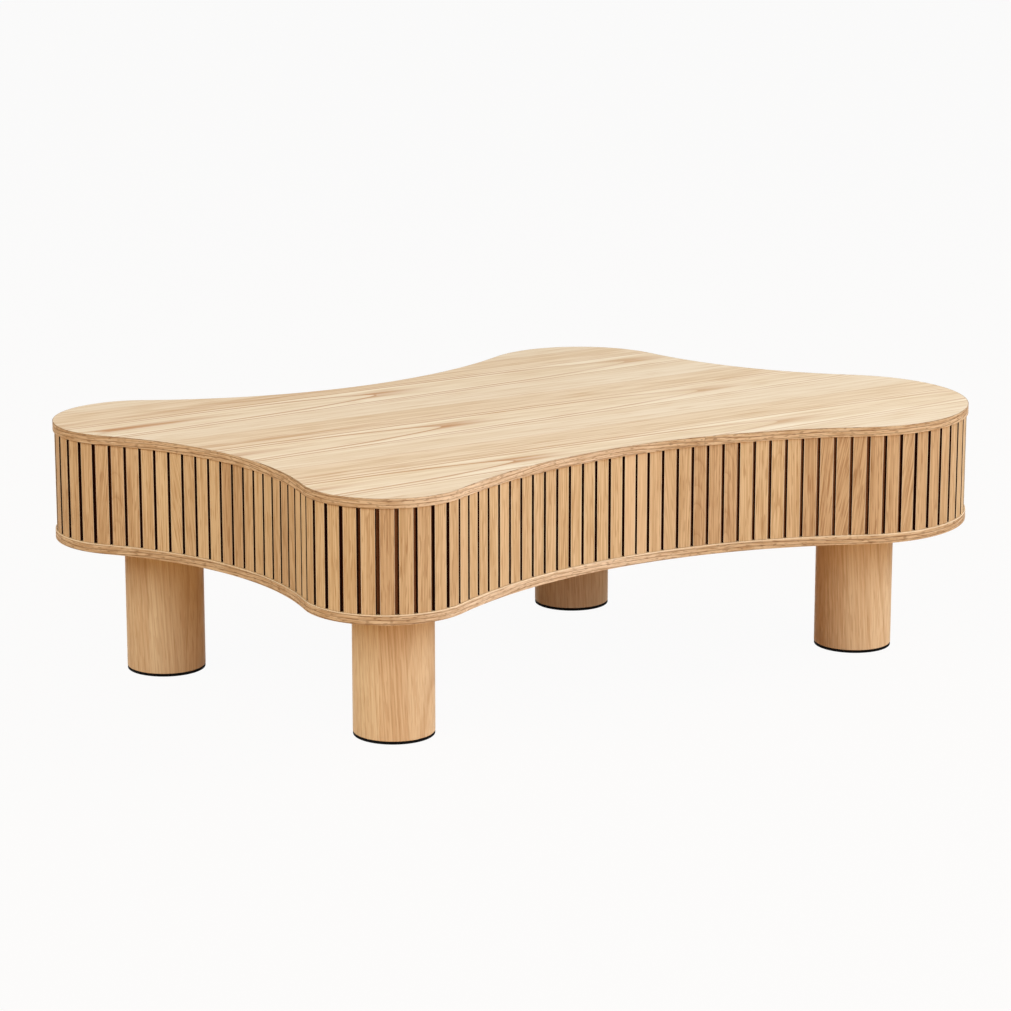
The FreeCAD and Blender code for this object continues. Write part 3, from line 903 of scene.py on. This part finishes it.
def top_veneer_material():
    """Crown-cut ash in slip-matched leaves: nested flames along the middle, plain wood at both joints.

    Rings are counted by the squared distance from the flames' axis over an area, plus the place along the
    leaf over a length. The distance is drawn in near the axis, which makes the tips blunt. A ring's part
    over the slope of the count is the distance to its line, so the lines keep one width. Brown streaks run
    on from the tips, where the cut follows a ring, and the wood between the outer lines is paler. The
    innermost ring shows only as a soft brown core.
    """
    material, tree = new_material("crown_cut_ash")
    x, y, _ = separated(object_place(tree))
    leaves = (LEAF_JOINT_Y - y) / LEAF_WIDTH
    number = calc("FLOOR", leaves)
    across = calc("FRACT", leaves) * LEAF_WIDTH
    along = x + number * LEAF_SLIP
    leaf_place = combined(across, along, number)
    streaks = stretched_noise(leaf_place, (110.0, 2.0, 7.0), roughness=0.6)
    flecks = stretched_noise(leaf_place, (260.0, 12.0, 7.0), detail=1.0)
    streaky = fade(streaks * 0.6 + flecks * 0.4, 0.38, 0.62)

    # Count of the rings, and the distance to the nearest line
    sway = stretched_noise(leaf_place, (5.0, 3.0, 0.0))
    from_axis = across + (along * FIGURE_LEAN + sway * FIGURE_SWAY) - FIGURE_AXIS
    away = abs(from_axis)
    drawn = away * fade(away, 0.026, 0.046, 0.7, 1.0)
    rings = drawn * drawn / FIGURE_AREA + (along - FIGURE_TIP) / FIGURE_LENGTH
    slope_out = drawn * fade(away, 0.022, 0.032, 1.4 / FIGURE_AREA, 3 / FIGURE_AREA)
    slope = slope_out * slope_out + FIGURE_LENGTH ** -2
    from_line = calc("PINGPONG", rings, 0.5) / calc("SQRT", slope)
    grown = fade(rings, -0.6, -0.4)

    # Lines: strongest near the axis, faint past the outer flames and weaker towards the right
    line = fade(from_line, 0.0008, 0.0034, 1.0, 0.0) * fade(away, 0.012, 0.036, 0.75, 0.6)
    line = line * fade(away, 0.043, 0.049, 1.0, 0.15)
    line = line * (grown * fade(along, 0.0, 0.25, 1.0, 0.5))

    # Brown streaks that run on from the tips, and the soft core
    beside = abs(from_axis + 0.002)
    tail = curve(calc("FRACT", rings), TIP_STREAK) * fade(beside, 0.006, 0.022, 0.85, 0.05)
    core = fade(rings, -1.03, -0.97) * fade(rings, -0.95, -0.42, 0.9, 0.0)
    core = core * fade(beside, 0.003, 0.016, 1.0, 0.0)
    tail = calc("MAXIMUM", tail * grown, core) * fade(along, 0.1, 0.28, 1.0, 0.5)
    tail = tail * fade(streaks, 0.35, 0.6, 0.5, 1.0)

    # Crowded fine lines behind the flames, and the joints between leaves
    behind = from_axis * -1.0
    crowd = fade(behind, 0.048, 0.056) * fade(behind, 0.07, 0.084, 1.0, 0.0)
    crowd = crowd * fade(along, -0.3, 0.1, 0.4, 0.12) * streaky
    joint = fade(calc("PINGPONG", leaves, 0.5), 0.002, 0.008, 0.3, 0.0)
    figured = calc("MAXIMUM", calc("MAXIMUM", line, tail), calc("MAXIMUM", crowd, joint))

    # Paler wood between the outer lines, and towards the front of each leaf
    between = fade(from_line, 0.002, 0.004) * fade(from_line, 0.008, 0.012, 0.8, 0.0)
    between = between * fade(away, 0.016, 0.028) * fade(away, 0.044, 0.052, 1.0, 0.0)
    pale_side = fade(across, 0.05, 0.20)
    pale = blend(pale_side, tint(239, 217, 188), tint(243, 225, 200))
    deep = blend(pale_side, tint(223, 196, 161), tint(232, 210, 180))
    color, rough, height = wood_skin(
        {"Streaks": streaky, "Pores": fade(flecks, 0.62, 0.72, 0.0, 0.5)},
        Pale=blend(between, pale, tint(249, 234, 210)), Deep=blend(between, deep, pale),
        Line=tint(180, 115, 45), Lines=figured,
    )
    return finished(material, color, rough, height, WOOD_RELIEF, TOP_LACQUER)


def band_material():
    """Edge veneer: dark ring lines that wander a little along the band, fine streaks, and a butt joint."""
    material, tree = new_material("edge_band_ash")
    along, across, _ = grain_place(tree)
    wander = line_noise(along * 2.2) * 0.024
    from_axis = across + wander + 0.01
    short = along * 3.0
    figured = figure(tree, 0.8, 0.7, Along=short, Across=from_axis, Cut=0.004, Tilt=0.0, Ring=0.0055,
                     Waver=0.005, Seed=2.0)
    joint = 1.0 - fade(along, 0.0002, 0.0006)
    # Painted sheen: the band takes the paler tints on its marked stretch
    tints = wood_tints(reading(tree, "painted_sheen"), BAND_WOOD, SHEEN_BAND_WOOD)
    grain = straight_grain(combined(from_axis, 0.3, short))
    color, rough, height = wood_skin(grain, **tints, Lines=calc("MAXIMUM", figured, joint))
    # Painted highlight along the bottom band's upper edge, then the dark glue line along the top band's
    highlighted = blend(reading(tree, "rim_highlight") * 0.6, color, tint(252, 233, 206))
    glued = blend(reading(tree, "glue_line") * 0.3, highlighted, tint(96, 60, 34))
    return finished(material, glued, rough, height, WOOD_RELIEF, MATT_LACQUER)


def slat_material():
    """Slat veneer: upright grain, own board and figure per slat, painted edge highlights, stained sides."""
    material, tree = new_material("slat_ash")
    across, up, _ = grain_place(tree)
    number = reading(tree, "slat_number")
    leaned = across + up * reading(tree, "slat_lean")
    own = number * 0.173
    figured = figure(tree, 1.0, 0.7, Along=up, Across=leaned + reading(tree, "slat_aside"),
                     Cut=reading(tree, "slat_cut"), Tilt=reading(tree, "slat_tilt"),
                     Ring=0.0034, Waver=0.006, Seed=number)
    tints = wood_tints(reading(tree, "slat_brown"), SLAT_WOOD, BROWN_SLAT_WOOD)
    grain = straight_grain(combined(leaned + own, own, up))
    color, rough, height = wood_skin(grain, **tints, Lines=figured * reading(tree, "slat_figure"))
    faded = blend(reading(tree, "slat_pale") * 0.6, color, tint(226, 195, 160))
    # Painted highlight along each slat's edges
    highlighted = blend(reading(tree, "edge_highlight") * 0.5, faded, tint(250, 232, 206))
    stain = fade(reading(tree, "stain"), 0.84, 1.0)
    stained = blend(stain, highlighted, tint(44, 18, 9))
    dull = calc("MAXIMUM", rough, stain)
    return finished(material, stained, dull, height, WOOD_RELIEF, MATT_LACQUER)


def leg_material():
    """Turned ash, glued up from boards: each board has its own tint and rings, which the round skin cuts.

    The angle round the leg is the length round it over the radius. Its cosine and sine give the place in
    the glued block: through the boards, and across them. The leg's place on the floor gives its number.
    """
    material, tree = new_material("turned_ash")
    round_place, up, _ = grain_place(tree)
    x, y, _ = separated(object_place(tree))
    leg_number = calc("FLOOR", (x + y) * 3.0)
    angle = round_place / LEG_RADIUS - LEG_BOARD_ANGLE
    sway = line_noise(up + leg_number) * 0.004
    through = calc("SINE", angle) * LEG_RADIUS + sway
    across = calc("COSINE", angle) * LEG_RADIUS
    boards = (through + LEG_BOARD * 0.35) / LEG_BOARD
    number = calc("FLOOR", boards) + leg_number * 17.0
    first, second, third = separated(drawn_lot(number)["Color"])
    in_board = calc("FRACT", boards) * LEG_BOARD
    figured = figure(tree, 0.3, 0.32, Along=up, Across=across + (first - 0.4) * 0.08,
                     Cut=in_board + second * 0.03, Tilt=0.04, Ring=0.0085, Waver=0.012, Seed=number)
    tints = wood_tints(third, PALE_LEG_WOOD, BROWN_LEG_WOOD)
    grain = straight_grain(combined(through + up * 0.06, across, up * 0.9))
    color, rough, height = wood_skin(grain, **tints, Lines=figured, Pores=grain["Pores"] * 0.5)
    return finished(material, color, rough, height, WOOD_RELIEF, MATT_LACQUER)


def plain_veneer_material():
    """Straight-grained veneer of the faces that do not show from above, with its grain along X."""
    material, tree = new_material("plain_ash_veneer")
    x, y, z = separated(object_place(tree))
    figured = figure(tree, 0.4, 0.6, Along=x, Across=y, Cut=0.03, Tilt=0.02, Ring=0.011, Waver=0.02,
                     Seed=9.0)
    color, rough, height = wood_skin(
        straight_grain(combined(y, z, x)),
        Pale=tint(226, 194, 150), Deep=tint(206, 168, 120), Line=tint(168, 122, 78), Lines=figured,
    )
    return finished(material, color, rough, height, WOOD_RELIEF)


def frame_wood_material(name, pale, deep, along_axis):
    """Sawn wood of the hidden frame: streaks and pores along one axis, unlacquered."""
    material, tree = new_material(name)
    parts = list(separated(object_place(tree)))
    along = parts.pop("XYZ".index(along_axis))
    grain = straight_grain(combined(parts[0], parts[1], along))
    color, rough, height = wood_skin(grain, Pale=pale, Deep=deep, Line=deep, Lines=0.0)
    return finished(material, color, rough + 0.25, height, SAWN_RELIEF)


def core_board_material():
    """Pressed core board: chips of several browns, with a rough surface."""
    material, tree = new_material("core_board_chips")
    position = object_place(tree)
    chips = place_node(tree, "TexVoronoi", {"Vector": position, "Scale": 420.0})
    tone, _, _ = separated(chips["Color"])
    dust = stretched_noise(position, (900.0, 900.0, 900.0), detail=3.0)
    color = blend(tone, tint(206, 176, 132), tint(164, 126, 84))
    return finished(material, color, dust * 0.2 + 0.7, tone + dust, FIBRE_RELIEF)


def backing_material():
    """Brown stained backing: a soft, fuzzy sheet with a fine uneven nap."""
    material, tree = new_material("stained_backing")
    position = object_place(tree)
    nap = stretched_noise(position, (1600.0, 1600.0, 900.0))
    cloud = stretched_noise(position, (60.0, 60.0, 60.0), detail=3.0)
    wear_and_highlight = fade(nap * 0.7 + cloud * 0.3, 0.3, 0.7)
    color = blend(wear_and_highlight, tint(124, 74, 44), tint(162, 104, 66))
    return finished(material, color, nap * 0.1 + 0.85, nap, FIBRE_RELIEF, FUZZY_SHEET)


def pad_material():
    """Black felt of the foot pads: short fibres that catch a little light."""
    material, tree = new_material("black_felt")
    fibres = stretched_noise(object_place(tree), (1500.0, 1500.0, 2600.0), detail=3.0, roughness=0.7)
    color = blend(fade(fibres, 0.35, 0.7), tint(3, 3, 3), tint(14, 13, 13))
    return finished(material, color, fibres * 0.1 + 0.85, fibres, FIBRE_RELIEF, BLACK_FELT)


def steel_material():
    """Zinc-plated steel: a bright metal with clouded patches and fine turning marks."""
    material, tree = new_material("zinc_steel")
    position = object_place(tree)
    cloud = stretched_noise(position, (220.0, 220.0, 220.0), detail=4.0)
    marks = stretched_noise(position, (300.0, 300.0, 4000.0))
    color = blend(cloud, tint(176, 178, 180), tint(206, 206, 202))
    return finished(material, color, marks * 0.22 + 0.2, marks, PLATED_RELIEF, metal=1.0)


# Building the table

TOP_BAND_JOINT = ARC_NAMES.index("front_bay") + 0.659
BOTTOM_BAND_JOINT = ARC_NAMES.index("rear_bay") + 0.42
# Stretches of the bands painted paler as sheen, from one station to another
SHEEN_START = ARC_NAMES.index("front_lobe") + 0.72
TOP_BAND_SHEEN = (SHEEN_START, TOP_BAND_JOINT - 0.15)
BOTTOM_BAND_SHEEN = (SHEEN_START, TOP_BAND_JOINT - 0.09)


def dress(nodes, material):
    """Gives CAD nodes a material."""
    for name in nodes:
        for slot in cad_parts[name].material_slots:
            slot.material = material


def build_table():
    """The pieces that stand for CAD nodes that show."""
    make_top_veneer(top_veneer_material())
    band = band_material()
    make_edge_band("top_band", TOP_LOW, TOP_HIGH, TOP_BAND_JOINT, TOP_BAND_SHEEN, "glue_line", GLUE_LINE,
                   band, "top_edge_band")
    # The bottom band's upper edge carries a painted highlight
    make_edge_band("bottom_band", BOTTOM_LOW, BOTTOM_HIGH, BOTTOM_BAND_JOINT, BOTTOM_BAND_SHEEN,
                   "rim_highlight", RIM_HIGHLIGHT_WIDTH, band, "bottom_edge_band")
    make_slats(slat_material())
    backing = backing_material()
    whole = passed_lengths(BACKING_FRONT)[-1]
    front = length_at(station_at(FRONT_SEAM, SLAT_BACK), BACKING_FRONT)
    rear = length_at(station_at(REAR_SEAM, SLAT_BACK), BACKING_FRONT)
    trim = SEAM_GAP / 2
    make_backing("backing_sheet_right", front + trim, rear - trim, backing, "slat_backing_right")
    make_backing("backing_sheet_left", rear + trim, front + whole - trim, backing, "slat_backing_left")
    leg_wood = leg_material()
    felt = pad_material()
    for name in LOBE_NAMES:
        make_leg(name, leg_wood)
        make_pad(name, felt)
    steel = steel_material()
    rim_spots, _ = outline(np.arange(ARC_COUNT) + 0.5, RIM_MIDDLE)
    make_screws("bottom_screw_set", rim_spots, "bottom_screws", *BOTTOM_SCREW, steel)
    feet = [node_center("foot_pad_" + name) for name in LOBE_NAMES]
    make_screws("foot_screw_set", feet, "foot_screws", *FOOT_SCREW, steel)
    dress(["leg_bolts", "leg_t_nuts"], steel)


def dress_hidden_nodes():
    """Materials of the CAD nodes that are kept: inner boards, frame, skirt and dowels."""
    dress(["top_balance_veneer", "bottom_face_veneer", "bottom_balance_veneer"], plain_veneer_material())
    dress(["top_board", "bottom_board"], core_board_material())
    sawn = (tint(214, 180, 134), tint(182, 140, 92))
    bent = (tint(120, 84, 52), tint(88, 58, 34))
    beech = (tint(216, 176, 132), tint(186, 140, 98))
    skirts = ["skirt_" + name for name in LOBE_NAMES]
    blocks = ["leg_block_" + name for name in LOBE_NAMES]
    for name, (pale, deep), along_axis, nodes in (
        ("bent_plywood", bent, "Z", skirts),
        ("sawn_plywood_along", sawn, "X", ["upper_rim", "lower_rim", "long_rib"] + blocks),
        ("sawn_plywood_across", sawn, "Y", ["cross_rib"]),
        ("sawn_batten", sawn, "Z", ["splice_battens"]),
        ("beech_dowel", beech, "Z", ["top_dowels"]),
    ):
        dress(nodes, frame_wood_material(name, pale, deep, along_axis))


# Studio

FLOOR_SIZE = 40.0
BACKGROUND = tint(253, 253, 253)
# The colour of the light that the floor throws back, and the share of the plain background in its look
FLOOR_COLOR = (0.72, 0.46, 0.23, 1.0)
FLOOR_PLAIN_SHARE = 0.97
AMBIENT_STRENGTH = 0.23
AMBIENT_COLOR = (1.0, 0.83, 0.61, 1.0)
LAMP_DISTANCE = 4.6
LAMP_SIZE = 2.6
# Each lamp's azimuth and elevation in degrees, its power in watts and its colour
LAMPS = {
    "front": (-90, 27, 98.0, (1.0, 1.0, 1.0)),
    "right": (-30, 42, 117.0, (0.88, 0.95, 1.0)),
    "left": (180, 35, 100.0, (1.0, 0.98, 0.88)),
}
CAMERA_PLACE = (-2.60899, -4.12570, 1.43300)
CAMERA_HEADING = math.radians(-32)
CAMERA_PITCH = math.radians(13.927)
CAMERA_LENS = 126.66
CAMERA_SENSOR = 36.0
CAMERA_REACH = 100.0


def seen_directly(tree):
    """1 where a ray comes from the camera or a reflection, and 0 where it carries light."""
    path = place_node(tree, "LightPath")
    mirrored = calc("MAXIMUM", path["Is Glossy Ray"], path["Is Transmission Ray"])
    return calc("MAXIMUM", path["Is Camera Ray"], mirrored)


def make_floor():
    """A wide plain floor that shows as the pale background, keeps a soft shadow and throws light back."""
    half = FLOOR_SIZE / 2
    corners = [(-half, -half, FLOOR), (half, -half, FLOOR), (half, half, FLOOR), (-half, half, FLOOR)]
    mesh = bpy.data.meshes.new("floor")
    mesh.from_pydata(corners, [], [(0, 1, 2, 3)])
    floor = add_to_scene("floor", mesh)
    material, tree = new_material("pale_floor")
    matt = place_node(tree, "BsdfDiffuse", {"Color": FLOOR_COLOR})[0]
    plain = place_node(tree, "Emission", {"Color": BACKGROUND, "Strength": 1.0})[0]
    share = seen_directly(tree) * FLOOR_PLAIN_SHARE
    mix = place_node(tree, "MixShader", {0: share, 1: matt, 2: plain})[0]
    place_node(tree, "OutputMaterial", {"Surface": mix})
    mesh.materials.append(material)


def make_world():
    """Even soft light from all round, seen as the pale background."""
    world = bpy.data.worlds.new("studio")
    bpy.context.scene.world = world
    world.use_nodes = True
    tree = world.node_tree
    tree.nodes.clear()
    light = place_node(tree, "Background", {0: AMBIENT_COLOR, 1: AMBIENT_STRENGTH})[0]
    shown = place_node(tree, "Background", {0: BACKGROUND, 1: 1.0})[0]
    mix = place_node(tree, "MixShader", {0: seen_directly(tree), 1: light, 2: shown})[0]
    place_node(tree, "OutputWorld", {"Surface": mix})


def make_lamps():
    """Large soft lamps round the table, each turned to face its middle."""
    for name, (azimuth, elevation, power, color) in LAMPS.items():
        lamp = bpy.data.lights.new(name, "AREA")
        lamp.energy = power
        lamp.color = color
        lamp.size = LAMP_SIZE
        holder = add_to_scene(name, lamp)
        turn = math.radians(azimuth)
        rise = math.radians(elevation)
        level = math.cos(rise) * LAMP_DISTANCE
        height = math.sin(rise) * LAMP_DISTANCE
        holder.location = (math.cos(turn) * level, math.sin(turn) * level, height)
        holder.rotation_euler = (QUARTER_TURN - rise, 0.0, turn + QUARTER_TURN)


def make_camera():
    """The photograph's camera, worked out from the table's legs and outline."""
    camera = bpy.data.cameras.new("camera")
    camera.lens = CAMERA_LENS
    camera.sensor_width = CAMERA_SENSOR
    camera.clip_end = CAMERA_REACH
    holder = add_to_scene("camera", camera)
    holder.location = CAMERA_PLACE
    holder.rotation_euler = (QUARTER_TURN - CAMERA_PITCH, 0.0, CAMERA_HEADING)
    bpy.context.scene.camera = holder


build_table()
dress_hidden_nodes()
make_floor()
make_world()
make_lamps()
make_camera()
bpy.context.scene.view_settings.view_transform = "Standard"
